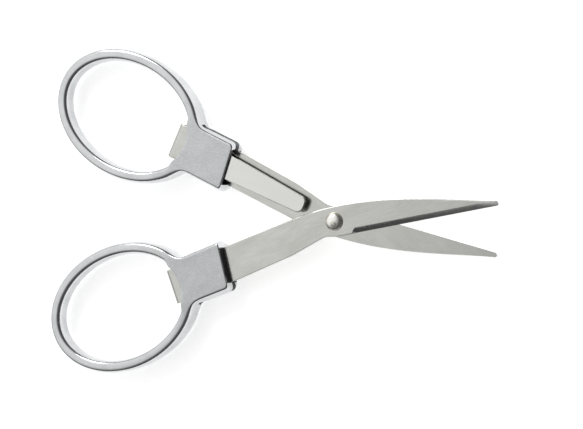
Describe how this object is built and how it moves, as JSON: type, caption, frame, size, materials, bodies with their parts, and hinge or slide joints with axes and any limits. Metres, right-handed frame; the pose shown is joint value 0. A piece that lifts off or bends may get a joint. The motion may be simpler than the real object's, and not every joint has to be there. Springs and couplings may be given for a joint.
{
  "type": "folding thread snips",
  "caption": "Folding thread snips: pointed stainless blades crossing on a rivet, with finger-ring handles whose slotted necks take the folded blades.",
  "frame": {"origin": "bottom centre of the bounding box with the blades open as stored, on the plane the necks rest on", "axes": "+X from the finger rings towards the blade tips along the line that halves the opening, +Y towards the rear half's ring, +Z out of the front half's outer face"},
  "size_m": [0.1094, 0.0774, 0.0055],
  "materials": {
    "strip_steel": "satin stainless strip with a fine grind, brighter rolled edges and a ground bevel",
    "handle_chrome": "plated zinc casting: polished rings and sides, satin neck faces",
    "rivet_nickel": "nickel-plated domed head, lightly scuffed"
  },
  "bodies": {
    "front_half": {"front_blade": "strip_steel", "front_handle": "handle_chrome", "pivot_rivet": "rivet_nickel"},
    "rear_half": {"rear_blade": "strip_steel", "rear_handle": "handle_chrome"}
  },
  "joints": [
    {"name": "blade_pivot", "type": "hinge", "parent": "front_half", "child": "rear_half", "pos_m": [0.01844, 0, 0.00275], "axis": [0, 0, -1], "range_deg": [-15.3, 148.2]}
  ]
}
